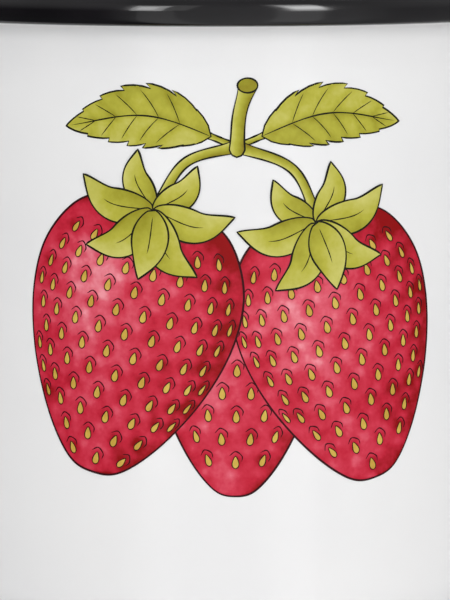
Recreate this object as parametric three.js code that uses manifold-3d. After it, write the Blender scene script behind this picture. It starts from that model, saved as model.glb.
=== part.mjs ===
// An enamelled sheet-steel drinking mug: a straight cup pressed in one piece, its lip
// curled outward into a black-enamelled bead, and a strap handle welded on by two tabs.
// Millimetres, +Z up. The origin is the middle of the whole mug's footprint, on the
// surface it stands on. The handle points to +X.

import * as THREE from "three";
import { mergeVertices } from "three/addons/utils/BufferGeometryUtils.js";
import Module from "manifold-3d";

// Cup
const CUP_HEIGHT = 80;
const WALL_RADIUS = 40;
const SHEET = 1.2;
const CORNER_RADIUS = 7;
const FLARE = 0.8;
const FLARE_HEIGHT = 7;

// Base, pressed up so that the mug stands on a ring
const BASE_RECESS = 1.2;
const FOOT_WIDTH = 4;
const STEP_RADIUS = 1.5;

// Rolled lip
const BEAD_DIAMETER = 3.6;
const CURL_GAP = 0.3;

// Strap handle: a shallow channel with its edges rolled towards the fingers
const STRAP_WIDTH = 12;
const STRAP_DEPTH = 4.2;
const STRAP_LIP = 0.8;
const STRAP_TRIM = 3;
const HANDLE_REACH = 68;
const TOP_ARM_HEIGHT = 61;
const TOP_BEND_RADIUS = 12;
const BACK_LENGTH = 9;
const BACK_LEAN = 8;
const LOWER_BEND_RADIUS = 20;
const LOWER_ARM_FALL = 20;

// Weld tabs at the two ends of the strap
const TAB_WIDTH = 13;
const TAB_BEYOND_STRAP = 5.4;
const TAB_BEHIND_STRAP = 3.2;
const TAB_CORNER = 4;
const TAB_COVE = 2.6;

// Facets
const TURN_SEGMENTS = 60;
const DEGREES_PER_FACET = 22.5;
const STRAP_STEPS = 40;
const SHORTEST_CURVE = 1e-6;

const HALF_SHEET = SHEET / 2;
const RIM_RADIUS = WALL_RADIUS + FLARE - SHEET + BEAD_DIAMETER;
const RIM_FOOT = CUP_HEIGHT - BEAD_DIAMETER;
const AXIS_X = (RIM_RADIUS - HANDLE_REACH) / 2;

const degrees = THREE.MathUtils.degToRad;

const wasm = await Module();
wasm.setup();

// A closed geometry as a solid that can be joined and cut.
function toSolid(geometry) {
  const bare = geometry.clone();
  bare.deleteAttribute("normal");
  bare.deleteAttribute("uv");
  const merged = mergeVertices(bare, 1e-4);
  return new wasm.Manifold(
    new wasm.Mesh({
      numProp: 3,
      vertProperties: merged.attributes.position.array,
      triVerts: new Uint32Array(merged.index.array),
    }),
  );
}

function toGeometry(solid) {
  const mesh = solid.getMesh();
  const geometry = new THREE.BufferGeometry();
  geometry.setAttribute("position", new THREE.BufferAttribute(mesh.vertProperties, 3));
  geometry.setIndex(new THREE.BufferAttribute(mesh.triVerts, 1));
  geometry.computeVertexNormals();
  return geometry;
}

// Places along a path of lines and arcs, each with the direction across it to the left.
function pathStations(path) {
  const stations = [];
  const curves = path.curves.filter((curve) => curve.getLength() > SHORTEST_CURVE);
  curves.forEach((curve, index) => {
    const isArc = curve instanceof THREE.EllipseCurve;
    const sweep = isArc ? Math.abs(curve.aEndAngle - curve.aStartAngle) : 0;
    const facets = isArc ? Math.ceil(sweep / degrees(DEGREES_PER_FACET)) : 1;
    for (let i = index === 0 ? 0 : 1; i <= facets; i++) {
      const point = curve.getPoint(i / facets);
      const along = curve.getTangent(i / facets);
      stations.push({ point, left: new THREE.Vector2(-along.y, along.x) });
    }
  });
  return stations;
}

// The outline of a bent sheet whose middle line is the path.
function sheetOutline(path) {
  const stations = pathStations(path);
  const side = (sign) =>
    stations.map(({ point, left }) => point.clone().addScaledVector(left, sign * HALF_SHEET));
  return [...side(-1), ...side(1).reverse()];
}

// An outline of radius and height turned about the mug's own upright axis.
function turned(outline) {
  return new THREE.LatheGeometry(outline, TURN_SEGMENTS).rotateX(Math.PI / 2);
}

// The cup's sheet, from the middle of the base out to the foot, round the corner and up
// the wall to where the black lip starts.
function cupPath() {
  const wall = WALL_RADIUS - HALF_SHEET;
  const corner = CORNER_RADIUS - HALF_SHEET;
  const footOuter = wall - corner;
  const footInner = footOuter - FOOT_WIDTH;
  const stepTurn = Math.acos(1 - BASE_RECESS / (2 * STEP_RADIUS));
  const stepRun = 2 * STEP_RADIUS * Math.sin(stepTurn);
  const panelEdge = footInner - stepRun;
  const panelHeight = BASE_RECESS + HALF_SHEET;

  const flareTurn = 2 * Math.atan(FLARE / FLARE_HEIGHT);
  const flareRadius = FLARE_HEIGHT / (2 * Math.sin(flareTurn));
  const flareFoot = RIM_FOOT - FLARE_HEIGHT;

  const path = new THREE.Path();
  path.moveTo(0, panelHeight);
  path.lineTo(panelEdge, panelHeight);
  path.absarc(panelEdge, panelHeight - STEP_RADIUS, STEP_RADIUS, Math.PI / 2, Math.PI / 2 - stepTurn, true);
  path.absarc(footInner, HALF_SHEET + STEP_RADIUS, STEP_RADIUS, -Math.PI / 2 - stepTurn, -Math.PI / 2, false);
  path.lineTo(footOuter, HALF_SHEET);
  path.absarc(footOuter, HALF_SHEET + corner, corner, -Math.PI / 2, 0, false);
  path.lineTo(wall, flareFoot);
  path.absarc(wall + flareRadius, flareFoot, flareRadius, Math.PI, Math.PI - flareTurn, true);
  path.absarc(wall + FLARE - flareRadius, RIM_FOOT, flareRadius, -flareTurn, 0, false);
  return path;
}

// The lip's sheet, up from the cup and curled outward until its edge nearly meets the wall.
function lipPath() {
  const wall = WALL_RADIUS + FLARE - HALF_SHEET;
  const curl = (BEAD_DIAMETER - SHEET) / 2;
  const centreHeight = CUP_HEIGHT - BEAD_DIAMETER / 2;
  const edgeReach = curl - HALF_SHEET - CURL_GAP;
  const pastBottom = Math.asin(edgeReach / (BEAD_DIAMETER / 2));

  const path = new THREE.Path();
  path.moveTo(wall, RIM_FOOT);
  path.lineTo(wall, centreHeight);
  path.absarc(wall + curl, centreHeight, curl, Math.PI, -Math.PI / 2 - pastBottom, true);
  return path;
}

// The handle's middle line in the upright plane of the handle: x is out from the cup's
// axis and y is height.
function handlePath() {
  const startX = WALL_RADIUS - STRAP_TRIM;
  const topBendX = HANDLE_REACH - STRAP_DEPTH / 2 - TOP_BEND_RADIUS;
  const topBendY = TOP_ARM_HEIGHT - TOP_BEND_RADIUS;
  const lean = degrees(BACK_LEAN);
  const fall = degrees(LOWER_ARM_FALL);

  const backTop = new THREE.Vector2(Math.cos(-lean), Math.sin(-lean))
    .multiplyScalar(TOP_BEND_RADIUS)
    .add(new THREE.Vector2(topBendX, topBendY));
  const backFoot = backTop
    .clone()
    .add(new THREE.Vector2(-Math.sin(lean), -Math.cos(lean)).multiplyScalar(BACK_LENGTH));
  const lowerCentre = backFoot
    .clone()
    .add(new THREE.Vector2(-Math.cos(lean), Math.sin(lean)).multiplyScalar(LOWER_BEND_RADIUS));
  const lowerEnd = -Math.PI / 2 + fall;
  const armStart = new THREE.Vector2(Math.cos(lowerEnd), Math.sin(lowerEnd))
    .multiplyScalar(LOWER_BEND_RADIUS)
    .add(lowerCentre);
  const armHeight = (x) => armStart.y - (armStart.x - x) * Math.tan(fall);

  const path = new THREE.Path();
  path.moveTo(startX, TOP_ARM_HEIGHT);
  path.lineTo(topBendX, TOP_ARM_HEIGHT);
  path.absarc(topBendX, topBendY, TOP_BEND_RADIUS, Math.PI / 2, -lean, true);
  path.lineTo(backFoot.x, backFoot.y);
  path.absarc(lowerCentre.x, lowerCentre.y, LOWER_BEND_RADIUS, -lean, lowerEnd, true);
  path.lineTo(startX, armHeight(startX));
  return { path, lowerRoot: armHeight(WALL_RADIUS) };
}

// A flat path stood up in the plane of the handle.
class UprightCurve extends THREE.Curve {
  constructor(path) {
    super();
    this.path = path;
  }

  getPoint(t, target = new THREE.Vector3()) {
    const point = this.path.getPoint(t);
    return target.set(point.x, 0, point.y);
  }
}

// The strap's section. Its x runs towards the fingers and its y across the strap.
function strapSection() {
  const roll = STRAP_DEPTH / 2 - HALF_SHEET;
  const side = STRAP_WIDTH / 2 - HALF_SHEET - roll;
  const path = new THREE.Path();
  path.moveTo(roll, side - STRAP_LIP);
  path.lineTo(roll, side);
  path.absarc(0, side, roll, 0, Math.PI, false);
  path.lineTo(-roll, -side);
  path.absarc(0, -side, roll, Math.PI, 2 * Math.PI, false);
  path.lineTo(roll, -side + STRAP_LIP);
  return new THREE.Shape(sheetOutline(path));
}

// The strap, trimmed round so that both ends finish inside the thickness of the tabs.
function strapSolid(path) {
  const strap = new THREE.ExtrudeGeometry(strapSection(), {
    extrudePath: new UprightCurve(path),
    steps: STRAP_STEPS,
  });
  const trimRadius = WALL_RADIUS + HALF_SHEET;
  const trim = new THREE.CylinderGeometry(trimRadius, trimRadius, CUP_HEIGHT, TURN_SEGMENTS);
  trim.rotateX(Math.PI / 2).translate(0, 0, CUP_HEIGHT / 2);
  return toSolid(strap).subtract(toSolid(trim));
}

// A shape drawn in the plane of the handle, given a thickness across it.
function acrossHandle(shape, width) {
  return toSolid(
    new THREE.ExtrudeGeometry(shape, { depth: width, bevelEnabled: false, curveSegments: 6 })
      .translate(0, 0, -width / 2)
      .rotateX(Math.PI / 2),
  );
}

// A tab that lies on the wall's own facets, from low to high, with round outer corners.
function tabSolid(low, high) {
  const ring = turned([
    new THREE.Vector2(WALL_RADIUS, low),
    new THREE.Vector2(WALL_RADIUS + SHEET, low),
    new THREE.Vector2(WALL_RADIUS + SHEET, high),
    new THREE.Vector2(WALL_RADIUS, high),
    new THREE.Vector2(WALL_RADIUS, low),
  ]);
  const half = TAB_WIDTH / 2;
  const outline = new THREE.Shape();
  outline.moveTo(-half + TAB_CORNER, low);
  outline.absarc(half - TAB_CORNER, low + TAB_CORNER, TAB_CORNER, -Math.PI / 2, 0, false);
  outline.absarc(half - TAB_CORNER, high - TAB_CORNER, TAB_CORNER, 0, Math.PI / 2, false);
  outline.absarc(-half + TAB_CORNER, high - TAB_CORNER, TAB_CORNER, Math.PI / 2, Math.PI, false);
  outline.absarc(-half + TAB_CORNER, low + TAB_CORNER, TAB_CORNER, Math.PI, 1.5 * Math.PI, false);
  const blank = new THREE.ExtrudeGeometry(outline, {
    depth: 2 * TAB_WIDTH,
    bevelEnabled: false,
    curveSegments: 5,
  });
  blank.rotateX(Math.PI / 2).rotateZ(Math.PI / 2).translate(WALL_RADIUS - TAB_WIDTH, 0, 0);
  return toSolid(ring).intersect(toSolid(blank));
}

// The bend between a tab and the back of the strap, as a hollow corner that meets both
// smoothly. root is the height where the strap's middle meets the wall, and rise is the
// angle at which the strap climbs away from it. up is 1 where the tab stands above the
// strap and -1 where it hangs below.
function coveSolid(root, rise, up) {
  const face = WALL_RADIUS + HALF_SHEET;
  const back = root + HALF_SHEET * Math.tan(rise) + (up * (STRAP_DEPTH / 2 - HALF_SHEET)) / Math.cos(rise);
  const reach = TAB_COVE + HALF_SHEET;
  const centre = new THREE.Vector2(face + reach, back + reach * (Math.tan(rise) + up / Math.cos(rise)));
  const towardsStrap = rise - (up * Math.PI) / 2;
  const touch = new THREE.Vector2(Math.cos(towardsStrap), Math.sin(towardsStrap))
    .multiplyScalar(reach)
    .add(centre);

  const shape = new THREE.Shape();
  shape.moveTo(face, back);
  shape.lineTo(touch.x, touch.y);
  shape.absarc(centre.x, centre.y, TAB_COVE, towardsStrap, -up * Math.PI, up > 0);
  shape.lineTo(face, centre.y);
  return acrossHandle(shape, STRAP_WIDTH - 3 * HALF_SHEET);
}

function handleGeometry() {
  const { path, lowerRoot } = handlePath();
  const half = STRAP_DEPTH / 2;
  const topTab = tabSolid(TOP_ARM_HEIGHT - TAB_BEHIND_STRAP, TOP_ARM_HEIGHT + half + TAB_BEYOND_STRAP);
  const lowerTab = tabSolid(lowerRoot - half - TAB_BEYOND_STRAP, lowerRoot + TAB_BEHIND_STRAP);
  const handle = strapSolid(path)
    .add(topTab)
    .add(lowerTab)
    .add(coveSolid(TOP_ARM_HEIGHT, 0, 1))
    .add(coveSolid(lowerRoot, degrees(LOWER_ARM_FALL), -1));
  return toGeometry(handle);
}

const whiteEnamel = new THREE.MeshStandardMaterial({ color: 0xeceded, roughness: 0.12, metalness: 0 });
const blackEnamel = new THREE.MeshStandardMaterial({ color: 0x121214, roughness: 0.1, metalness: 0 });

function piece(name, geometry, material) {
  const mesh = new THREE.Mesh(geometry, material);
  mesh.name = name;
  return mesh;
}

const mug = new THREE.Group();
mug.position.x = AXIS_X;
mug.add(piece("cup", turned(sheetOutline(cupPath())), whiteEnamel));
const lipOutline = sheetOutline(lipPath());
mug.add(piece("rolled_rim", turned([...lipOutline, lipOutline[0]]), blackEnamel));
mug.add(piece("handle", handleGeometry(), whiteEnamel));

export default mug;
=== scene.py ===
# The looks of an enamelled steel mug: white enamel, a rolled black rim, a welded strap
# handle and a printed bunch of strawberries. Lengths are in millimetres from the cup's
# axis and the surface that it stands on, until a mesh is made in metres.
import math

import bpy
import numpy as np
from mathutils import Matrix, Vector
from mathutils.geometry import delaunay_2d_cdt


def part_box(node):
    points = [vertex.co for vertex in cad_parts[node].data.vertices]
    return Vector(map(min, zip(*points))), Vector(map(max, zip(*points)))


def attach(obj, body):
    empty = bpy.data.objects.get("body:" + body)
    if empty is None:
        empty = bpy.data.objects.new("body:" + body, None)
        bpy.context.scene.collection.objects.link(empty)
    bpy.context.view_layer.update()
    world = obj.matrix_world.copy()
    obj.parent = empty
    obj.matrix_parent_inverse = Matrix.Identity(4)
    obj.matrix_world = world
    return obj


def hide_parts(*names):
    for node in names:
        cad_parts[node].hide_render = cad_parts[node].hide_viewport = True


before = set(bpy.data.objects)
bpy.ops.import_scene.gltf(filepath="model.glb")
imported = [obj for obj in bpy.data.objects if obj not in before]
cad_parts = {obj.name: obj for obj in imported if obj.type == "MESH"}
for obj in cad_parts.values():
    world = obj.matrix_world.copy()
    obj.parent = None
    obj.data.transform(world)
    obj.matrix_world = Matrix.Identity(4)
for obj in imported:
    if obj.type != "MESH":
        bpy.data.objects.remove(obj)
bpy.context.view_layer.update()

MM = 0.001
cup_low, cup_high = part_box("cup")
AXIS_X = (cup_low.x + cup_high.x) / 2 / MM

# Cup
CUP_HEIGHT = 80.0
WALL_RADIUS = 40.0
SHEET = 1.2
CORNER_RADIUS = 7.0
FLARE = 0.8
FLARE_LOW = 71.2
FLARE_HIGH = 74.6
FLARE_LOW_BEND = 7.0
FLARE_HIGH_BEND = 5.0
BASE_RECESS = 1.2
FOOT_INNER = 28.4
PANEL_EDGE = 27.2
PANEL_BEND = 1.4
FOOT_MARKS = (75, 195, 315)
FOOT_MARK_RADIUS = 30.6
INNER_RADIUS = WALL_RADIUS - SHEET
SEGMENTS = 384

# Rolled rim
BEAD_RADIUS = 1.8
BEAD_CENTRE = (WALL_RADIUS + FLARE - SHEET + BEAD_RADIUS, CUP_HEIGHT - BEAD_RADIUS)
BEAD_SQUARENESS = 3.8
COVE_RADIUS = 0.35
INNER_BORDER = 75.7
ENAMEL_STEP = 0.04

# Handle
STRAP_WIDTH = 12.0
STRAP_DEPTH = 4.2
STRAP_LIP = 0.8
HANDLE_REACH = 68.0
TOP_ARM_HEIGHT = 61.0
TOP_BEND_RADIUS = 12.0
BACK_LENGTH = 9.0
BACK_LEAN = math.radians(8)
LOWER_BEND_RADIUS = 20.0
LOWER_ARM_FALL = math.radians(20)
TAB_HALF_WIDTH = 6.5
TAB_CORNER = 4.0
TAB_BEYOND_STRAP = 5.4
TAB_BEHIND_STRAP = 3.2
TAB_ROUND = 0.55
TAB_BLEND = 2.6
DIMPLE_ACROSS = 2.7
DIMPLE_FROM_EDGE = 2.1
DIMPLE_RADIUS = 2.45
DIMPLE_DEPTH = 0.35
DIMPLE_BLEND = 0.5
FILLET = 1.2
FILLET_SINK = 0.15
HANDLE_GRID = 0.29


def srgb(red, green, blue):
    """A colour given as on a screen, from 0 to 255, as linear light."""
    share = np.array([red, green, blue]) / 255
    return tuple(np.where(share < 0.04045, share / 12.92, ((share + 0.055) / 1.055) ** 2.4))


# Meshes


def add_piece(name, vertices, faces, material, values=None):
    """A smooth mesh that rides on the mug. values holds a number per vertex for each name."""
    mesh = bpy.data.meshes.new(name)
    places = (np.asarray(vertices, float) + (AXIS_X, 0, 0)) * MM
    mesh.from_pydata(places.tolist(), [], [list(face) for face in faces])
    mesh.shade_smooth()
    for key, numbers in (values or {}).items():
        layer = mesh.attributes.new(key, "FLOAT", "POINT")
        layer.data.foreach_set("value", np.asarray(numbers, np.float32))
    mesh.materials.append(material)
    piece = bpy.data.objects.new(name, mesh)
    bpy.context.scene.collection.objects.link(piece)
    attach(piece, "root")
    return piece


def arc(centre, radius, start, end, step=6.0):
    """Points on an arc from start to end, in degrees."""
    turn = np.radians(np.linspace(start, end, max(2, math.ceil(abs(end - start) / step)) + 1))
    return np.stack([centre[0] + radius * np.cos(turn), centre[1] + radius * np.sin(turn)], -1)


def rounded(corners):
    """A line through corners given as (radius, height, rounding)."""
    corners = np.asarray(corners, float)
    points = [corners[:1, :2]]
    for before, corner, after in zip(corners, corners[1:], corners[2:]):
        rounding = corner[2]
        here = corner[:2]
        back = before[:2] - here
        on = after[:2] - here
        back, on = back / np.hypot(*back), on / np.hypot(*on)
        half = math.acos(np.clip(back @ on, -1, 1)) / 2
        if rounding == 0 or half > math.radians(89.9):
            points.append(here[None])
            continue
        middle = (back + on) / np.hypot(*(back + on))
        centre = here + middle * rounding / math.sin(half)
        first = here + back * rounding / math.tan(half) - centre
        last = here + on * rounding / math.tan(half) - centre
        start = math.degrees(math.atan2(first[1], first[0]))
        sweep = math.degrees(math.atan2(last[1], last[0])) - start
        sweep = (sweep + 180) % 360 - 180
        points.append(arc(centre, rounding, start, start + sweep))
    points.append(corners[-1:, :2])
    return np.vstack(points)


def revolved(profile, shift=None):
    """Vertices and faces of an outline of (radius, height) turned about the axis. Its solid
    lies to the left of the outline, which closes on itself or starts and ends on the axis."""
    on_axis = profile[:, 0] < 1e-6
    open_ends = on_axis[0] and on_axis[-1]
    angle = np.linspace(0, 2 * math.pi, SEGMENTS, endpoint=False)[:, None]
    radius = np.repeat(profile[None, :, 0], SEGMENTS, 0)
    height = np.repeat(profile[None, :, 1], SEGMENTS, 0)
    if shift is not None:
        height = height + shift(angle)
    vertices = np.stack([radius * np.cos(angle), radius * np.sin(angle), height], -1).reshape(-1, 3)
    ids = np.arange(len(vertices)).reshape(SEGMENTS, -1)
    ids[:, on_axis] = ids[0, on_axis]
    here = np.arange(len(profile) - 1 if open_ends else len(profile))
    after = (here + 1) % len(profile)
    beside = np.roll(ids, -1, axis=0)
    quads = np.stack([ids[:, here], beside[:, here], beside[:, after], ids[:, after]], -1).reshape(-1, 4)
    used, quads = np.unique(quads, return_inverse=True)
    faces = [list(dict.fromkeys(quad)) for quad in quads.reshape(-1, 4).tolist()]
    return vertices[used], faces


def surface_net(distance, low, high, step):
    """The surface where a distance is nought, as one smooth closed mesh of quads."""
    axes = [np.arange(a, b + step, step) for a, b in zip(low, high)]
    grid = np.stack(np.meshgrid(*axes, indexing="ij"), -1)
    field = distance(grid.reshape(-1, 3)).reshape(grid.shape[:3])
    cells = tuple(n - 1 for n in field.shape)
    total = np.zeros((*cells, 3))
    count = np.zeros(cells)
    for axis in range(3):
        for corner in range(4):
            start = [0, 0, 0]
            start[(axis + 1) % 3] = corner % 2
            start[(axis + 2) % 3] = corner // 2
            end = list(start)
            end[axis] = 1
            first, last = (tuple(slice(s, s + n) for s, n in zip(at, cells)) for at in (start, end))
            crossed = (field[first] < 0) != (field[last] < 0)
            share = field[first] / np.where(crossed, field[first] - field[last], 1)
            point = grid[first].copy()
            point[..., axis] += share * step
            total += point * crossed[..., None]
            count += crossed
    used = count > 0
    number = np.full(cells, -1)
    number[used] = np.arange(used.sum())
    vertices = total[used] / count[used][:, None]
    quads = []
    for axis in range(3):
        order = (axis, (axis + 1) % 3, (axis + 2) % 3)
        solid = np.moveaxis(field, order, (0, 1, 2)) < 0
        cell = np.moveaxis(number, order, (0, 1, 2))
        i, j, k = np.nonzero(solid[:-1, 1:-1, 1:-1] != solid[1:, 1:-1, 1:-1])
        quad = np.stack([cell[i, j, k], cell[i, j + 1, k], cell[i, j + 1, k + 1], cell[i, j, k + 1]], -1)
        starts_solid = solid[i, j + 1, k + 1]
        quads.append(np.where(starts_solid[:, None], quad, quad[:, ::-1]))
    for _ in range(3):
        vertices = vertices - drop_to(distance, vertices)
    return vertices, np.vstack(quads)


def drop_to(distance, points, probe=0.02):
    """The move that takes points near a surface away from it, by its slope."""
    slope = np.stack([
        (distance(points + probe * axis) - distance(points - probe * axis)) / (2 * probe)
        for axis in np.eye(3)
    ], -1)
    return distance(points)[:, None] * slope / np.maximum((slope**2).sum(-1), 0.2)[:, None]


# Materials


class Nodes:
    """The nodes of a material or of the sky, with short ways to add some."""

    def __init__(self, tree, place):
        self.nodes = tree.nodes
        self.links = tree.links
        self.place = self.nodes.new("ShaderNodeTexCoord").outputs[place]

    def axes(self):
        node = self.nodes.new("ShaderNodeSeparateXYZ")
        self.links.new(self.place, node.inputs["Vector"])
        return node.outputs

    def math(self, kind, first, second=None, third=None):
        node = self.nodes.new("ShaderNodeMath")
        node.operation = kind
        for socket, value in zip(node.inputs, (first, second, third)):
            if isinstance(value, (int, float)):
                socket.default_value = value
            elif value is not None:
                self.links.new(value, socket)
        return node.outputs[0]

    def spread(self, value, low, high, to_low, to_high, smooth=False):
        node = self.nodes.new("ShaderNodeMapRange")
        if smooth:
            node.interpolation_type = "SMOOTHSTEP"
        for name, number in zip(("From Min", "From Max", "To Min", "To Max"), (low, high, to_low, to_high)):
            node.inputs[name].default_value = number
        self.links.new(value, node.inputs["Value"])
        return node.outputs["Result"]

    def ramp(self, value, stops):
        node = self.nodes.new("ShaderNodeValToRGB")
        node.color_ramp.interpolation = "EASE" if len(stops) == 2 else "LINEAR"
        elements = node.color_ramp.elements
        while len(elements) < len(stops):
            elements.new(0.5)
        for element, (place, colour) in zip(elements, stops):
            element.position = place
            element.color = (*colour, 1)
        self.links.new(value, node.inputs["Fac"])
        return node.outputs["Color"]

    def blend(self, amount, first, second):
        node = self.nodes.new("ShaderNodeMix")
        node.data_type = "RGBA"
        for socket, value in zip((node.inputs[0], node.inputs[6], node.inputs[7]), (amount, first, second)):
            if isinstance(value, tuple):
                socket.default_value = (*value, 1)
            elif isinstance(value, (int, float)):
                socket.default_value = value
            else:
                self.links.new(value, socket)
        return node.outputs[2]


class Paint(Nodes):
    """A Principled material and the nodes that drive it."""

    def __init__(self, name, roughness, ior):
        self.material = bpy.data.materials.new(name)
        self.material.use_nodes = True
        super().__init__(self.material.node_tree, "Object")
        self.shader = self.nodes["Principled BSDF"]
        self.shader.inputs["IOR"].default_value = ior
        self.shader.inputs["Roughness"].default_value = roughness

    def noise(self, size, detail=2.0):
        """Noise from 0 to 1 whose grains are about size millimetres across."""
        node = self.nodes.new("ShaderNodeTexNoise")
        node.inputs["Scale"].default_value = 1 / (size * MM)
        node.inputs["Detail"].default_value = detail
        self.links.new(self.place, node.inputs["Vector"])
        return node.outputs["Fac"]

    def stored(self, name):
        node = self.nodes.new("ShaderNodeAttribute")
        node.attribute_name = name
        return node.outputs["Fac"]

    def set(self, name, value):
        self.links.new(value, self.shader.inputs[name])

    def relief(self, height, depth):
        """Relief from a height of 0 to 1, depth millimetres high."""
        bump = self.nodes.new("ShaderNodeBump")
        bump.inputs["Strength"].default_value = 1.0
        bump.inputs["Distance"].default_value = depth * MM
        self.links.new(height, bump.inputs["Height"])
        self.set("Normal", bump.outputs["Normal"])


def enamel_relief(paint):
    """The slow waves and the faint orange peel of fired enamel."""
    waves = paint.noise(16.0, 1.0)
    peel = paint.noise(1.6, 2.0)
    paint.relief(paint.math("MULTIPLY_ADD", peel, 0.03, waves), 0.05)


def white_enamel():
    paint = Paint("white_enamel", 0.1, 1.5)
    cloud = paint.noise(24.0, 3.0)
    tint = paint.ramp(cloud, [(0.3, (0.822, 0.823, 0.825)), (0.7, (0.85, 0.849, 0.846))])
    speck = paint.nodes.new("ShaderNodeTexVoronoi")
    speck.inputs["Scale"].default_value = 1 / (9 * MM)
    paint.links.new(paint.place, speck.inputs["Vector"])
    chosen = paint.math("GREATER_THAN", speck.outputs["Color"], 0.93)
    close = paint.spread(speck.outputs["Distance"], 0.012, 0.028, 0.55, 0.0, smooth=True)
    speckled = paint.blend(paint.math("MULTIPLY", chosen, close), tint, (0.12, 0.11, 0.1))
    paint.set("Base Color", bare_foot(paint, speckled))
    paint.set("Roughness", paint.spread(paint.noise(7.0, 3.0), 0.3, 0.7, 0.07, 0.14))
    enamel_relief(paint)
    return paint.material


def bare_foot(paint, colour):
    """Three small dark marks under the foot, where the mug stood on pins in the kiln."""
    ragged = paint.spread(paint.noise(0.9, 3.0), 0.3, 0.7, -0.4 * MM, 0.4 * MM)
    under = paint.spread(paint.axes()["Z"], 0.3 * MM, 0.6 * MM, 0.85, 0.0)
    for turn in FOOT_MARKS:
        angle = math.radians(turn)
        gap = paint.nodes.new("ShaderNodeVectorMath")
        gap.operation = "DISTANCE"
        paint.links.new(paint.place, gap.inputs[0])
        mark = (AXIS_X + FOOT_MARK_RADIUS * math.cos(angle), FOOT_MARK_RADIUS * math.sin(angle), 0)
        gap.inputs[1].default_value = [number * MM for number in mark]
        near = paint.math("ADD", gap.outputs["Value"], ragged)
        spot = paint.spread(near, 0.8 * MM, 1.2 * MM, 1.0, 0.0, smooth=True)
        colour = paint.blend(paint.math("MULTIPLY", under, spot), colour, (0.1, 0.09, 0.085))
    return colour


def black_enamel():
    paint = Paint("black_enamel", 0.09, 1.45)
    cloud = paint.noise(9.0, 3.0)
    tint = paint.ramp(cloud, [(0.3, (0.003, 0.0026, 0.0036)), (0.7, (0.006, 0.0052, 0.0066))])
    paint.set("Base Color", tint)
    paint.set("Roughness", paint.spread(paint.noise(5.0, 3.0), 0.3, 0.7, 0.06, 0.12))
    enamel_relief(paint)
    return paint.material


# Cup and rim


def cup_outline():
    """The white enamel: the base, the wall and its flare, up to the hollow under the bead."""
    flare = WALL_RADIUS + FLARE
    reach = BEAD_RADIUS + COVE_RADIUS
    cove_x = flare + COVE_RADIUS
    cove_y = BEAD_CENTRE[1] - math.sqrt(reach**2 - (BEAD_CENTRE[0] - cove_x) ** 2)
    touch = math.degrees(math.atan2(BEAD_CENTRE[1] - cove_y, BEAD_CENTRE[0] - cove_x))
    outer = rounded([
        (0, BASE_RECESS, 0), (PANEL_EDGE, BASE_RECESS, PANEL_BEND), (FOOT_INNER, 0, PANEL_BEND),
        (WALL_RADIUS, 0, CORNER_RADIUS), (WALL_RADIUS, FLARE_LOW, FLARE_LOW_BEND),
        (flare, FLARE_HIGH, FLARE_HIGH_BEND), (flare, cove_y, 0),
    ])
    cove = arc((cove_x, cove_y), COVE_RADIUS, 180, touch, 12)
    under_bead = arc(BEAD_CENTRE, BEAD_RADIUS - 0.02, touch - 180, -90, 4)
    inner = rounded([
        (BEAD_CENTRE[0], BEAD_CENTRE[1], 0), (BEAD_CENTRE[0] - 1.0, BEAD_CENTRE[1], 0),
        (flare - SHEET + ENAMEL_STEP, BEAD_CENTRE[1] - 1, 0), (flare - SHEET, INNER_BORDER, 0),
        (flare - SHEET, FLARE_HIGH, FLARE_HIGH_BEND), (INNER_RADIUS, FLARE_LOW, FLARE_LOW_BEND),
        (INNER_RADIUS, SHEET, CORNER_RADIUS - SHEET), (FOOT_INNER, SHEET, PANEL_BEND),
        (PANEL_EDGE, BASE_RECESS + SHEET, PANEL_BEND), (0, BASE_RECESS + SHEET, 0),
    ])
    return np.vstack([outer, cove[1:], under_bead[1:], inner])


def border_wave(angle):
    """The slight wander of the border between two enamels, as a share from -1 to 1."""
    return (0.5 * np.sin(2 * angle + 0.7) + 0.3 * np.sin(5 * angle + 2.1) + 0.2 * np.sin(11 * angle)
            + 0.08 * np.sin(23 * angle + 1.3))


def rim_outline():
    """The black enamel round the bead, which is squarer where it tucks under, and down the
    inside of the lip, and how far each point follows the wander of the border."""
    lip = BEAD_CENTRE[0] - BEAD_RADIUS
    bead = arc((0, 0), 1, -104, 180, 4)
    tucked = (bead[:, 0] > 0) & (bead[:, 1] < 0)
    bead = np.where(tucked[:, None], np.sign(bead) * np.abs(bead) ** (2 / BEAD_SQUARENESS), bead)
    bead = np.array(BEAD_CENTRE) + BEAD_RADIUS * bead
    edge = [
        (lip - 0.3 * ENAMEL_STEP, BEAD_CENTRE[1] - 0.7), (lip - ENAMEL_STEP, INNER_BORDER + 0.9),
        (lip - ENAMEL_STEP, INNER_BORDER + 0.12), (lip - 0.6 * ENAMEL_STEP, INNER_BORDER + 0.03),
        (lip + ENAMEL_STEP, INNER_BORDER), (lip + 0.3, INNER_BORDER + 0.2),
        (lip + 0.4, BEAD_CENTRE[1] - 0.5),
    ]
    back = arc(BEAD_CENTRE, BEAD_RADIUS - 0.1, -150, -105, 8)
    follow = np.concatenate([np.zeros(len(bead) + 1), [0.3, 1, 1, 1, 1, 0.2], np.zeros(len(back))])
    return np.vstack([bead, edge, back]), follow


def make_cup(material):
    vertices, faces = revolved(cup_outline())
    cup = add_piece("enamel_cup", vertices, faces, material)
    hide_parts("cup")


def make_rim(material):
    outline, follow = rim_outline()
    vertices, faces = revolved(outline, lambda angle: 0.16 * follow[None] * border_wave(angle))
    rim = add_piece("enamel_rim", vertices, faces, material)
    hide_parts("rolled_rim")


# Handle


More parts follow.
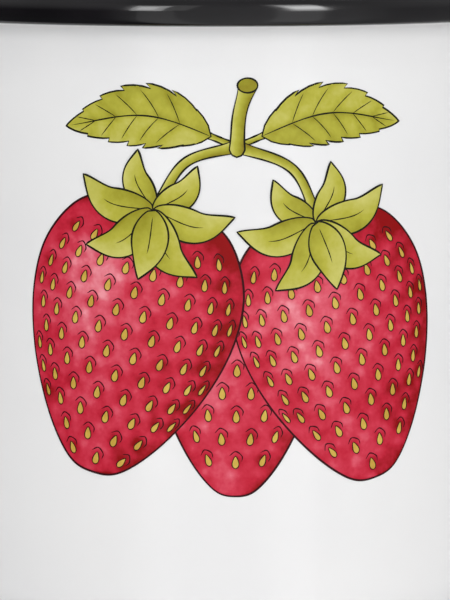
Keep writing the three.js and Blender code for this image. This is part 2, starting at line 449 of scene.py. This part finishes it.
def handle_line():
    """The middle line of the strap, as lines (start, end) and arcs (centre, radius, from, to),
    in the upright plane of the handle."""
    top_x = HANDLE_REACH - STRAP_DEPTH / 2 - TOP_BEND_RADIUS
    top_centre = np.array([top_x, TOP_ARM_HEIGHT - TOP_BEND_RADIUS])
    out = np.array([math.cos(BACK_LEAN), -math.sin(BACK_LEAN)])
    down = np.array([-math.sin(BACK_LEAN), -math.cos(BACK_LEAN)])
    back_top = top_centre + TOP_BEND_RADIUS * out
    back_foot = back_top + BACK_LENGTH * down
    lower_centre = back_foot - LOWER_BEND_RADIUS * out
    last = LOWER_ARM_FALL - math.pi / 2
    arm_start = lower_centre + LOWER_BEND_RADIUS * np.array([math.cos(last), math.sin(last)])
    run = arm_start[0] - WALL_RADIUS + 2
    arm_end = arm_start - run * np.array([1, math.tan(LOWER_ARM_FALL)])
    lines = [
        (np.array([WALL_RADIUS - 2, TOP_ARM_HEIGHT]), np.array([top_x, TOP_ARM_HEIGHT])),
        (back_top, back_foot),
        (arm_start, arm_end),
    ]
    arcs = [
        (top_centre, TOP_BEND_RADIUS, -BACK_LEAN, math.pi / 2),
        (lower_centre, LOWER_BEND_RADIUS, last, -BACK_LEAN),
    ]
    root = arm_start[1] - (arm_start[0] - WALL_RADIUS) * math.tan(LOWER_ARM_FALL)
    return lines, arcs, root


LINES, ARCS, LOWER_ROOT = handle_line()


def strap_offset(flat):
    """For points in the handle's plane, the signed distance from the strap's middle line, which
    is positive towards the fingers."""
    best = np.full(len(flat), np.inf)
    offset = np.zeros(len(flat))
    for start, end in LINES:
        along = (end - start) / np.hypot(*(end - start))
        away = flat - start
        run = away @ along
        side = away @ np.array([along[1], -along[0]])
        past = np.maximum(np.maximum(-run, run - np.hypot(*(end - start))), 0)
        gap = np.hypot(side, past)
        nearer = gap < best
        best = np.where(nearer, gap, best)
        offset = np.where(nearer, side, offset)
    for centre, radius, low, high in ARCS:
        away = flat - centre
        turn = np.arctan2(away[:, 1], away[:, 0])
        held = (turn > low) & (turn < high)
        side = radius - np.hypot(away[:, 0], away[:, 1])
        nearer = held & (np.abs(side) < best)
        best = np.where(nearer, np.abs(side), best)
        offset = np.where(nearer, side, offset)
    return offset


def soft_min(first, second, reach):
    """The lesser of two distances, rounded over where they come within reach."""
    mix = np.maximum(reach - np.abs(first - second), 0) / reach
    return np.minimum(first, second) - mix**2 * reach / 4


def strap_distance(points):
    """A flat strap with round edges that curl in to short lips, open towards the fingers."""
    offset = strap_offset(points[:, [0, 2]])
    across = np.abs(points[:, 1])
    roll = (STRAP_DEPTH - SHEET) / 2
    side = STRAP_WIDTH / 2 - SHEET / 2 - roll
    rolled = np.abs(np.hypot(offset, across - side) - roll)
    lip = np.hypot(offset - roll, np.maximum(side - STRAP_LIP - across, 0))
    flat = np.minimum(np.abs(offset + roll), lip)
    return np.where(across > side, rolled, flat) - SHEET / 2


def past_both(first, second):
    """The distance past a square edge, from the distances past its two sides."""
    outside = np.hypot(np.maximum(first, 0), np.maximum(second, 0))
    return outside + np.minimum(np.maximum(first, second), 0)


def tab_distance(points, low, high):
    """A tab bent to the wall, with a round outer edge; its two weld dimples are pressed in by
    handle_distance.
    """
    radius = np.hypot(points[:, 0], points[:, 1])
    across = np.abs(WALL_RADIUS * np.arctan2(points[:, 1], points[:, 0]))
    up = np.abs(points[:, 2] - (low + high) / 2)
    past_x = across - (TAB_HALF_WIDTH - TAB_CORNER)
    past_z = up - ((high - low) / 2 - TAB_CORNER)
    wide = past_both(past_x, past_z) - TAB_CORNER + TAB_ROUND
    deep = np.abs(radius - WALL_RADIUS - SHEET / 2) - SHEET / 2 + TAB_ROUND
    return past_both(deep, wide) - TAB_ROUND


def dimple_distance(points, across, height):
    centre = np.array([WALL_RADIUS + SHEET + DIMPLE_RADIUS - DIMPLE_DEPTH, across, height])
    return np.sqrt(((points - centre) ** 2).sum(1)) - DIMPLE_RADIUS


def handle_distance(points):
    """The strap on its two tabs, with enamel pooled where they meet each other and the wall. Its
    root goes half way into the wall's sheet."""
    half = STRAP_DEPTH / 2
    top = (TOP_ARM_HEIGHT - TAB_BEHIND_STRAP, TOP_ARM_HEIGHT + half + TAB_BEYOND_STRAP)
    lower = (LOWER_ROOT - half - TAB_BEYOND_STRAP, LOWER_ROOT + TAB_BEHIND_STRAP)
    tabs = np.minimum(tab_distance(points, *top), tab_distance(points, *lower))
    for across in (-DIMPLE_ACROSS, DIMPLE_ACROSS):
        for height in (top[1] - DIMPLE_FROM_EDGE, lower[0] + DIMPLE_FROM_EDGE):
            tabs = -soft_min(-tabs, dimple_distance(points, across, height), DIMPLE_BLEND)
    handle = soft_min(strap_distance(points), tabs, TAB_BLEND)
    radius = np.hypot(points[:, 0], points[:, 1])
    joined = soft_min(handle, radius - WALL_RADIUS + FILLET_SINK, FILLET)
    return np.maximum(np.maximum(joined, handle - FILLET), WALL_RADIUS - SHEET / 2 - radius)


def make_handle(material):
    low = (WALL_RADIUS - 2.2, -TAB_HALF_WIDTH - 1.5, LOWER_ROOT - 9.5)
    high = (HANDLE_REACH + 0.8, TAB_HALF_WIDTH + 1.5, TOP_ARM_HEIGHT + 9.5)
    vertices, faces = surface_net(handle_distance, low, high, HANDLE_GRID)
    handle = add_piece("strap_handle", vertices, faces.tolist(), material)
    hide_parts("handle")


# Print. It is drawn flat: x is the arc along the wall to the right of the front and y is the
# height. Each wash and each set of lines lies on a level over the ones drawn before it.
PRINT_BASE = 0.02
PRINT_ROOT = 0.02
LEVEL_STEP = 0.005
INK_STEP = 0.0025
LINE_WIDTH = 0.21
SEED_LENGTH = 1.5
SEED_SPACING = 3.5
LEAF_STALK = 0.15
TOOTH_BITE = 0.15
VEIN_SLANT = 0.75
VEIN_REACH = 0.8
RED_INK = 0.0
GREEN_INK = 1.0

# One side of a berry, from its crown to its tip: across as a share of the half width and along
# as a share of the length.
BERRY_SIDE = [(0.0, 0.03), (0.34, -0.03), (0.7, 0.03), (0.94, 0.2), (0.97, 0.4), (0.83, 0.62),
              (0.56, 0.83), (0.26, 0.97)]
SEED_DROP = [(0, -0.6), (0.26, -0.1), (0.24, 0.26), (0, 0.42), (-0.24, 0.26), (-0.26, -0.1)]
SEED_HOLLOW = [(-0.5, -0.15), (-0.52, -0.6), (0, -0.98), (0.5, -0.62)]

# Sepals round a crown: the turn from the berry's heading, the reach, the curl and half the width.
SEPALS = [(-150, 7.5, 1.2, 1.6), (150, 7.5, -1.2, 1.6), (-100, 9.8, 1.6, 1.9), (100, 9.8, -1.6, 1.9),
          (-48, 9.6, 1.6, 2.0), (48, 9.6, -1.6, 2.0), (2, 8.6, 0.4, 2.1)]


def smooth(points, closed=False, per_span=8):
    """A smooth line through the points given, as a Catmull-Rom curve."""
    points = np.asarray(points, float)
    if closed:
        padded = np.vstack([points[-1], points, points[0], points[1]])
    else:
        padded = np.vstack([2 * points[0] - points[1], points, 2 * points[-1] - points[-2]])
    t = np.arange(per_span)[:, None] / per_span
    spans = []
    for a, b, c, d in zip(padded, padded[1:], padded[2:], padded[3:]):
        square = t**2 * (2 * a - 5 * b + 4 * c - d) / 2
        cube = t**3 * (3 * b - a - 3 * c + d) / 2
        spans.append(b + t * (c - a) / 2 + square + cube)
    if not closed:
        spans.append(points[-1:])
    return np.vstack(spans)


def turned(points, angle):
    cos, sin = math.cos(angle), math.sin(angle)
    return np.asarray(points, float) @ np.array([[cos, sin], [-sin, cos]])


class Spine:
    """A line that a leaf, a sepal or a stem is drawn around."""

    def __init__(self, points):
        self.line = smooth(points, per_span=12)
        self.steps = np.diff(self.line, axis=0)
        lengths = np.hypot(*self.steps.T)
        self.length = lengths.sum()
        self.share = np.concatenate([[0], lengths.cumsum()]) / self.length
        along = np.gradient(self.line, axis=0)
        self.along = along / np.hypot(*along.T)[:, None]

    def at(self, share, across=0.0):
        """The point at a share of the length, moved across the line to its left."""
        share = np.asarray(share, float)
        point = np.stack([np.interp(share, self.share, self.line[:, k]) for k in (0, 1)], -1)
        along = np.stack([np.interp(share, self.share, self.along[:, k]) for k in (0, 1)], -1)
        left = np.stack([-along[..., 1], along[..., 0]], -1)
        return point + left * np.asarray(across, float)[..., None]

    def near(self, points):
        """For each point, the nearest share of the length and the distance to the left."""
        away = points[:, None, :] - self.line[None, :-1]
        size = (self.steps**2).sum(-1)
        run = np.clip((away * self.steps).sum(-1) / size, 0, 1)
        gap = away - run[..., None] * self.steps
        nearest = np.hypot(gap[..., 0], gap[..., 1]).argmin(1)
        row = np.arange(len(points))
        run, gap, step = run[row, nearest], gap[row, nearest], self.steps[nearest]
        share = self.share[nearest] + run * np.sqrt(size[nearest]) / self.length
        side = (step[:, 0] * gap[:, 1] - step[:, 1] * gap[:, 0]) / np.sqrt(size[nearest])
        return share, side


class Drawing:
    """Washes and ink lines, each on its level."""

    def __init__(self):
        self.level = 0
        self.washes = []
        self.lines = []

    def wash(self, palette, outline, shade):
        self.level += 1
        self.add_wash(palette, outline, shade)

    def add_wash(self, palette, outline, shade):
        self.washes.append((palette, np.asarray(outline, float), shade, self.level))

    def ink(self, points, tone, width=LINE_WIDTH, closed=False):
        self.lines.append((np.asarray(points, float), tone, width, closed, self.level))


def blade_outline(spine, half_width, samples=40):
    share = np.linspace(0, 1, samples)
    left = spine.at(share, half_width(share))
    right = spine.at(share, -half_width(share))
    return np.vstack([left, right[-2:0:-1]])


def draw_sepal(drawing, base, bend, tip, half_width):
    spine = Spine([base, bend, tip])
    outline = blade_outline(
        spine, lambda s: half_width * np.sin(np.pi * np.clip(s, 0, 1) ** 0.8) ** 0.9 + 0.25 * (1 - s))

    def shade(points):
        share, across = spine.near(points)
        return 0.42 + 0.4 * share + 0.2 * across / half_width

    drawing.wash("greens", outline, shade)
    drawing.ink(outline, GREEN_INK, closed=True)
    drawing.ink(spine.at(np.linspace(0.1, 0.62, 12)), GREEN_INK, 0.7 * LINE_WIDTH)


def draw_stem(drawing, points, half_width, foot=1.0):
    """A stem that swells at its ends. foot is the width of its start, as a share of the rest."""
    spine = Spine(points)

    def half(share):
        swell = 1 + 0.5 * (2 * share - 1) ** 4
        return half_width * swell * (foot + (1 - foot) * np.sqrt(np.clip(9 * share, 0, 1)))

    outline = blade_outline(spine, half)
    drawing.wash("greens", outline, lambda p: 0.55 + 0.35 * spine.near(p)[1] / half_width)
    share = np.linspace(0, 1, 40)
    sides = [spine.at(share, side * half(share)) for side in (1, -1)]
    if foot < 0.5:
        drawing.ink(np.vstack([sides[0][::-1], sides[1]]), GREEN_INK)
    else:
        for side in sides:
            drawing.ink(side, GREEN_INK)


def draw_cut(drawing, centre, radius):
    turn = np.linspace(0, 2 * np.pi, 24, endpoint=False)
    ring = np.asarray(centre) + radius * np.stack([np.cos(turn), 0.72 * np.sin(turn)], -1)
    drawing.wash("greens", ring, lambda p: np.full(len(p), 0.2))
    drawing.ink(ring, GREEN_INK, closed=True)


def draw_leaflet(drawing, points, half_width, teeth):
    """A leaf on a short stalk, with teeth that lean to its tip, a rib and slanted veins."""
    spine = Spine(points)
    along = lambda at: LEAF_STALK + (1 - LEAF_STALK) * at

    def width(at, bite=0.0):
        return half_width * np.sin(np.pi * np.clip(at, 0, 1) ** 0.8) ** 0.85 * (1 - bite)

    steps = np.array([0.0, 0.3, 0.6, 0.85, 0.999])
    at = (np.arange(teeth)[:, None] + steps).ravel() / teeth
    tooth = np.tile(steps, teeth)
    share = along(at + 0.3 * tooth**3 / teeth * (1 - at))
    half = width(at, TOOTH_BITE * (1 - tooth) ** 1.5)
    outline = np.vstack([spine.at(share, half), spine.at([1.0]), spine.at(share, -half)[:0:-1]])
    veins = [(k + 0.5) / teeth for k in range(1, teeth - 1)]

    def shade(points):
        at, across = spine.near(points)
        reach = np.abs(across) / half_width
        tone = 0.58 + 0.1 * np.tanh(across / 0.3) - 0.12 * reach + 0.16 * at
        for start in veins:
            gap = (at - along(start)) * spine.length - VEIN_SLANT * np.abs(across)
            tone -= 0.16 * np.exp(-(gap / 0.45) ** 2)
        return tone - 0.2 * np.exp(-((across / 0.5) ** 2))

    draw_stem(drawing, spine.at([0.0, 0.5 * LEAF_STALK, 1.2 * LEAF_STALK]), 0.34)
    drawing.wash("greens", outline, shade)
    drawing.ink(outline, GREEN_INK, closed=True)
    drawing.ink(spine.at(along(np.linspace(0.0, 0.96, 30))), GREEN_INK, 0.9 * LINE_WIDTH)
    for start in veins:
        run = np.linspace(0, VEIN_REACH, 10)
        slant = VEIN_SLANT * half_width / spine.length
        reach = run * width(min(start + VEIN_REACH * slant / (1 - LEAF_STALK), 0.98))
        for side in (1, -1):
            vein = spine.at(along(start) + run * slant, side * reach)
            drawing.ink(vein, GREEN_INK, 0.6 * LINE_WIDTH)


def place_seeds(reach, length):
    """Staggered rows of seeds over a rounded berry: across, along, how far each faces the
    front, and the slope of the side there."""
    seeds = []
    rows = round(0.94 * length / (0.8 * SEED_SPACING))
    for row in range(rows):
        along = (0.13 + 0.8 * row / (rows - 1)) * length
        wide = max(reach(along), 0.001)
        step = SEED_SPACING / wide
        for k in range(-6, 7):
            turn = (0.5 * (row % 2) + k) * step
            if abs(turn) > 1.25:
                continue
            x = wide * math.sin(turn)
            y = along + (0.05 * math.cos(turn) - 0.03) * length
            room = min(reach(y - SEED_LENGTH), reach(y + 0.6 * SEED_LENGTH)) - abs(x)
            if room > 0.5 * math.cos(turn) + 0.1:
                slope = (reach(along + 1) - reach(along - 1)) / 2 * math.sin(turn)
                seeds.append((x, y, math.cos(turn), slope))
    return seeds


def draw_berry(drawing, crown, tip, half_width):
    crown, tip = np.asarray(crown, float), np.asarray(tip, float)
    length = np.hypot(*(tip - crown))
    angle = math.atan2(*(tip - crown)[::-1]) - math.pi / 2
    side = np.array(BERRY_SIDE) * (half_width, length)
    other = (side[1:] * (-1, 1))[::-1]
    local = smooth(np.vstack([side, [(0, length)], other]), closed=True, per_span=14)
    edge = local[: len(local) // 2]
    edge = edge[edge[:, 1].argmin():]
    reach = lambda along: np.interp(along, edge[:, 1], edge[:, 0], right=0)
    seeds = place_seeds(reach, length)
    centres = np.array([(x, y) for x, y, _, _ in seeds])

    def shade(points):
        flat = turned(points - crown, -angle)
        across = flat[:, 0] / np.maximum(reach(flat[:, 1]), 0.5)
        along = flat[:, 1] / length
        tone = 0.5 - 0.28 * np.minimum(np.abs(across), 1.2) ** 3 + 0.12 * across - 0.18 * (along - 0.45)
        tone -= 0.35 * np.exp(-((along / 0.13) ** 2))
        tone += 0.3 * np.exp(-(((across - 0.38) / 0.3) ** 2) - ((along - 0.32) / 0.2) ** 2)
        away = flat[:, None, :] - centres[None]
        pit = np.hypot(away[..., 0], away[..., 1] + 0.3)
        swell = np.hypot(away[..., 0] - 0.5, away[..., 1] - 1.3)
        tone -= 0.3 * np.exp(-((pit / 0.85) ** 2)).sum(1)
        return tone + 0.2 * np.exp(-((swell / 0.6) ** 2)).sum(1)

    outline = turned(local, angle) + crown
    drawing.wash("reds", outline, shade)
    drawing.ink(outline, RED_INK, 1.1 * LINE_WIDTH, closed=True)
    drop = smooth(SEED_DROP, closed=True, per_span=3) * SEED_LENGTH
    hollow = smooth(SEED_HOLLOW, per_span=5) * SEED_LENGTH
    drawing.level += 1
    for x, y, face, slope in seeds:
        squeeze = (0.35 + 0.65 * face, 1)
        put = lambda shape: turned(turned(shape * squeeze, -math.atan(slope)) + (x, y), angle) + crown
        drawing.add_wash("seeds", put(drop), lambda p: np.full(len(p), 0.5))
        drawing.ink(put(drop), RED_INK, 0.6 * LINE_WIDTH, closed=True)
        drawing.ink(put(hollow), RED_INK, 0.75 * LINE_WIDTH)


def draw_calyx(drawing, crown, heading):
    """Sepals round a crown. heading is the direction of the berry's tip, in degrees."""
    for turn, reach, curl, half_width in SEPALS:
        angle = math.radians(heading + turn)
        out = np.array([math.cos(angle), math.sin(angle)])
        left = np.array([-out[1], out[0]])
        bend = crown + out * 0.55 * reach + left * curl
        draw_sepal(drawing, crown, bend, crown + out * reach, half_width)


def draw_bunch():
    """Three berries that hang from one stem, in front of their leaves."""
    drawing = Drawing()
    node = np.array([2.6, 62.0])
    draw_leaflet(drawing, [node, (-8.0, 65.6), (-18.6, 64.2)], 3.9, 7)
    draw_leaflet(drawing, [node, (13.4, 65.8), (23.6, 64.6)], 3.8, 7)
    draw_berry(drawing, (2.8, 44.0), (2.4, 19.6), 9.6)
    draw_berry(drawing, (12.4, 52.4), (20.4, 21.2), 13.2)
    draw_berry(drawing, (-7.4, 54.0), (-15.2, 22.2), 13.6)
    draw_stem(drawing, [(12.6, 53.0), (9.4, 59.2), node], 0.55)
    draw_stem(drawing, [(-7.2, 54.4), (-3.6, 60.0), node], 0.55)
    draw_stem(drawing, [node - (0, 1.3), node + (0.3, 3.6), node + (1.3, 7.2)], 0.8, foot=0.0)
    draw_cut(drawing, node + (1.3, 7.3), 1.22)
    draw_calyx(drawing, np.array([12.4, 52.7]), -74)
    draw_calyx(drawing, np.array([-7.4, 54.3]), -105)
    return drawing


def inside(outline, points):
    """Which points lie inside a closed outline."""
    x, y = points[:, :1], points[:, 1:]
    after = np.roll(outline, -1, axis=0)
    spans = (outline[:, 1] <= y) != (after[:, 1] <= y)
    rise = after[:, 1] - outline[:, 1]
    rise = np.where(rise == 0, 1, rise)
    crossing = outline[:, 0] + (y - outline[:, 1]) * (after[:, 0] - outline[:, 0]) / rise
    return (spans & (x < crossing)).sum(1) % 2 == 1


def filled(outline, grid):
    """Points and triangles that fill a closed outline, about grid millimetres apart."""
    low, high = outline.min(0), outline.max(0)
    columns, rows = (np.arange(a + grid / 2, b, grid) for a, b in zip(low, high))
    points = np.stack(np.meshgrid(columns, rows, indexing="ij"), -1).reshape(-1, 2)
    points = points[inside(outline, points)]
    gap = np.hypot(*(points[:, None, :] - outline[None]).transpose(2, 0, 1))
    points = np.vstack([outline, points[gap.min(1, initial=np.inf) > 0.55 * grid]])
    loop = list(range(len(outline)))
    flat, _, triangles, _, _, _ = delaunay_2d_cdt([Vector(p) for p in points.tolist()], [], [loop], 1, 1e-5)
    return np.array([tuple(point) for point in flat]), triangles


def ribbon(points, width, closed):
    """Points and faces of an inked line, drawn with a little more weight here and there, and
    drawn out thin at its open ends."""
    count = len(points)
    if closed:
        along = np.roll(points, -1, axis=0) - np.roll(points, 1, axis=0)
    else:
        along = np.gradient(points, axis=0)
    along = along / np.maximum(np.hypot(*along.T), 1e-9)[:, None]
    left = np.stack([-along[:, 1], along[:, 0]], -1)
    share = np.arange(count) / (count if closed else count - 1)
    half = width / 2 * (1 + 0.16 * np.sin(2 * np.pi * 3 * share + points[0, 0]))
    if not closed:
        half = half * (0.14 + 0.86 * np.sqrt(4 * share * (1 - share)))
    flat = np.vstack([points + left * half[:, None], points - left * half[:, None]])
    here = np.arange(count if closed else count - 1)
    after = (here + 1) % count
    return flat, np.stack([here + count, after + count, after, here], -1).tolist()


class Sheets:
    """Thin closed sheets on the wall, gathered into one mesh."""

    def __init__(self):
        self.vertices = []
        self.faces = []
        self.tones = []
        self.count = 0

    def add(self, flat, faces, height, tone):
        """A sheet whose top stands height over the wall and whose back is sunk in it."""
        turn = flat[:, 0] / WALL_RADIUS
        for radius in (WALL_RADIUS + height, WALL_RADIUS - PRINT_ROOT):
            self.vertices.append(np.stack([radius * np.sin(turn), -radius * np.cos(turn), flat[:, 1]], -1))
            self.tones.append(tone)
        top, back = self.count, self.count + len(flat)
        edges = {(a, b) for face in faces for a, b in zip(face, [*face[1:], face[0]])}
        for face in faces:
            self.faces.append([top + k for k in face])
            self.faces.append([back + k for k in reversed(face)])
        for a, b in sorted(edges):
            if (b, a) not in edges:
                self.faces.append([top + b, top + a, back + a, back + b])
        self.count += 2 * len(flat)

    def make(self, name, material):
        values = {"tone": np.concatenate(self.tones)}
        piece = add_piece(name, np.vstack(self.vertices), self.faces, material, values)
        piece.data.set_sharp_from_angle(angle=math.radians(50))


def watercolour(name, stops, blotch):
    """A wash whose tone wanders in blotches and fine grain."""
    paint = Paint(name, 0.42, 1.5)
    paint.shader.inputs["Specular IOR Level"].default_value = 0.12
    tone = paint.math("MULTIPLY_ADD", paint.noise(3.4, 3.0), blotch, paint.stored("tone"))
    tone = paint.math("MULTIPLY_ADD", paint.noise(0.6, 3.0), 0.3 * blotch, tone)
    tone = paint.math("SUBTRACT", tone, 0.65 * blotch)
    paint.set("Base Color", paint.ramp(tone, stops))
    paint.set("Roughness", paint.spread(paint.noise(2.0), 0.3, 0.7, 0.36, 0.48))
    return paint.material


def make_print():
    reds = watercolour("print_reds", [
        (0.0, srgb(141, 0, 4)), (0.28, srgb(190, 30, 54)), (0.5, srgb(204, 54, 76)),
        (0.75, srgb(220, 94, 112)), (1.0, srgb(236, 150, 160)),
    ], 0.9)
    greens = watercolour("print_greens", [
        (0.0, srgb(126, 100, 16)), (0.3, srgb(150, 146, 36)), (0.6, srgb(178, 174, 62)),
        (1.0, srgb(206, 202, 116)),
    ], 0.7)
    seeds = watercolour("print_seeds", [(0.0, srgb(176, 128, 32)), (1.0, srgb(222, 198, 98))], 0.8)
    ink = watercolour("print_ink", [(0.0, srgb(52, 4, 12)), (1.0, srgb(22, 22, 8))], 0.1)
    drawing = draw_bunch()
    for palette, material, grid in (("reds", reds, 0.3), ("greens", greens, 0.45), ("seeds", seeds, 0.8)):
        sheets = Sheets()
        for kind, outline, shade, level in drawing.washes:
            if kind == palette:
                flat, triangles = filled(outline, grid)
                sheets.add(flat, triangles, PRINT_BASE + LEVEL_STEP * level, shade(flat))
        sheets.make("print_" + palette, material)
    lines = Sheets()
    for points, tone, width, closed, level in drawing.lines:
        flat, faces = ribbon(points, width, closed)
        lines.add(flat, faces, PRINT_BASE + LEVEL_STEP * level + INK_STEP, np.full(len(flat), tone))
    lines.make("print_ink", ink)


# Floor, lights and camera


# The floor lies a hair under the foot, so that their faces don't coincide.
FLOOR_HALF = 6000.0
FLOOR_GAP = 0.01


def make_floor():
    mesh = bpy.data.meshes.new("floor")
    half = FLOOR_HALF * MM
    low = -FLOOR_GAP * MM
    corners = [(-half, -half, low), (half, -half, low), (half, half, low), (-half, half, low)]
    mesh.from_pydata(corners, [], [(0, 1, 2, 3)])
    floor = bpy.data.objects.new("floor", mesh)
    bpy.context.scene.collection.objects.link(floor)
    paint = Paint("floor_paint", 0.6, 1.45)
    tint = paint.ramp(paint.noise(300.0), [(0.3, (0.86, 0.86, 0.87)), (0.7, (0.88, 0.88, 0.89))])
    paint.set("Base Color", tint)
    mesh.materials.append(paint.material)
    floor.visible_glossy = False


# The camera, from the front of the wall
VIEW_DISTANCE = 480.0
CAMERA_HEIGHT = 97.6
LOOK_HEIGHT = 43.5
VIEW_SHIFT = 1.2
LENS = 241.0
SENSOR = 36.0
LIGHT_DISTANCE = 1400.0

# How bright the sky is: around, overhead, below the floor and behind the mug. Two bands of it are
# darker: from and to which azimuth in degrees, and the share of the light that is missing.
SKY = 0.68
ZENITH = 0.45
BELOW = 0.85
BACKDROP = 0.8
DARK_BAND = (-112, -30, 0.88)
DIM_BAND = (58, 140, 0.4)

# The lights: azimuth, elevation, width and height in degrees, and radiance. The softboxes show in
# the gloss alone, each in layers that are brightest in the middle, and the others light the rest.
SOFTBOXES = {
    "softbox_right": [(31.6, 26, 11, 18, 6.5), (31.4, 25, 12.5, 38, 6.2), (30.8, 26, 14.5, 50, 2.0)],
    "softbox_left": [(-23.2, 22, 6, 20, 4.0), (-22.8, 22, 11, 36, 5.2), (-19.5, 27, 21, 40, 0.7)],
    "glow_right": [(28, -12, 16, 60, 0.65)],
    "glow_left": [(-19.5, -30, 14, 84, 0.38)],
    "softbox_back": [(165, 62, 40, 24, 5.0)],
}
SOFT_LIGHTS = {
    "key": (3, 38, 44, 50, 1.63),
    "fill_front": (3, 6, 50, 14, 1.05),
    "fill_left": (-58, 10, 50, 36, 0.5),
    "fill_right": (66, 10, 50, 36, 0.5),
}


def make_camera():
    camera = bpy.data.cameras.new("camera")
    camera.sensor_width = SENSOR
    camera.lens = LENS
    holder = bpy.data.objects.new("camera", camera)
    bpy.context.scene.collection.objects.link(holder)
    place = Vector((AXIS_X + VIEW_SHIFT, -WALL_RADIUS - VIEW_DISTANCE, CAMERA_HEIGHT)) * MM
    look = Vector((AXIS_X + VIEW_SHIFT, -WALL_RADIUS, LOOK_HEIGHT)) * MM
    holder.location = place
    holder.rotation_euler = (look - place).to_track_quat("-Z", "Y").to_euler()
    bpy.context.scene.camera = holder


def make_light(name, azimuth, elevation, wide, tall, radiance, mirrored, distance=LIGHT_DISTANCE):
    """A rectangle of light, placed and sized in degrees as the mug sees it, with azimuth to the
    right of the camera. A mirrored one shows in the gloss alone, and the others light the rest."""
    light = bpy.data.lights.new(name, "AREA")
    light.shape = "RECTANGLE"
    light.size = 2 * distance * math.tan(math.radians(wide / 2)) * MM
    light.size_y = 2 * distance * math.tan(math.radians(tall / 2)) * MM
    light.energy = radiance * math.pi * light.size * light.size_y
    holder = bpy.data.objects.new(name, light)
    bpy.context.scene.collection.objects.link(holder)
    turn, lift = math.radians(azimuth), math.radians(elevation)
    out = Vector((math.sin(turn) * math.cos(lift), -math.cos(turn) * math.cos(lift), math.sin(lift)))
    centre = Vector((AXIS_X, 0, CUP_HEIGHT)) * MM
    holder.location = centre + out * distance * MM
    holder.rotation_euler = out.to_track_quat("Z", "Y").to_euler()
    holder.visible_camera = False
    holder.visible_diffuse = not mirrored
    holder.visible_glossy = mirrored


def make_lights():
    for name, layers in SOFTBOXES.items():
        for layer, values in enumerate(layers):
            make_light(f"{name}_{layer}", *values, True, LIGHT_DISTANCE + 20 * layer)
    for name, values in SOFT_LIGHTS.items():
        make_light(name, *values, False)


def make_sky():
    """A pale surround that is dark low down on the left of the camera and dimmer on its right."""
    world = bpy.data.worlds.new("studio")
    world.use_nodes = True
    bpy.context.scene.world = world
    sky = Nodes(world.node_tree, "Generated")
    east, north, up = sky.axes()
    azimuth = sky.math("ARCTAN2", east, sky.math("MULTIPLY", north, -1.0))

    radiance = sky.spread(up, 0.45, 1.0, SKY, ZENITH)
    radiance = sky.math("MULTIPLY_ADD", sky.spread(up, -0.3, 0.05, 1.0, 0.0), BELOW - SKY, radiance)
    low = sky.spread(up, 0.03, 0.7, 1.0, 0.0)
    soft = math.radians(20) / 2
    for start, end, missing in (DARK_BAND, DIM_BAND):
        first, last = math.radians(start), math.radians(end)
        rise = sky.spread(azimuth, first - soft, first + soft, 0.0, 1.0, smooth=True)
        fall = sky.spread(azimuth, last - soft, last + soft, 1.0, 0.0, smooth=True)
        band = sky.math("MULTIPLY", sky.math("MULTIPLY", rise, fall), low)
        radiance = sky.math("MULTIPLY", radiance, sky.math("MULTIPLY_ADD", band, -missing, 1.0))
    seen = sky.nodes.new("ShaderNodeLightPath").outputs["Is Camera Ray"]
    background = sky.nodes["Background"]
    background.inputs["Color"].default_value = (1, 1, 1, 1)
    shown = sky.math("MULTIPLY", seen, sky.math("SUBTRACT", BACKDROP, radiance))
    sky.links.new(sky.math("ADD", radiance, shown), background.inputs["Strength"])


white = white_enamel()
black = black_enamel()
make_cup(white)
make_rim(black)
make_handle(white)
make_print()
make_floor()
make_camera()
make_lights()
make_sky()
bpy.context.scene.view_settings.view_transform = "Standard"
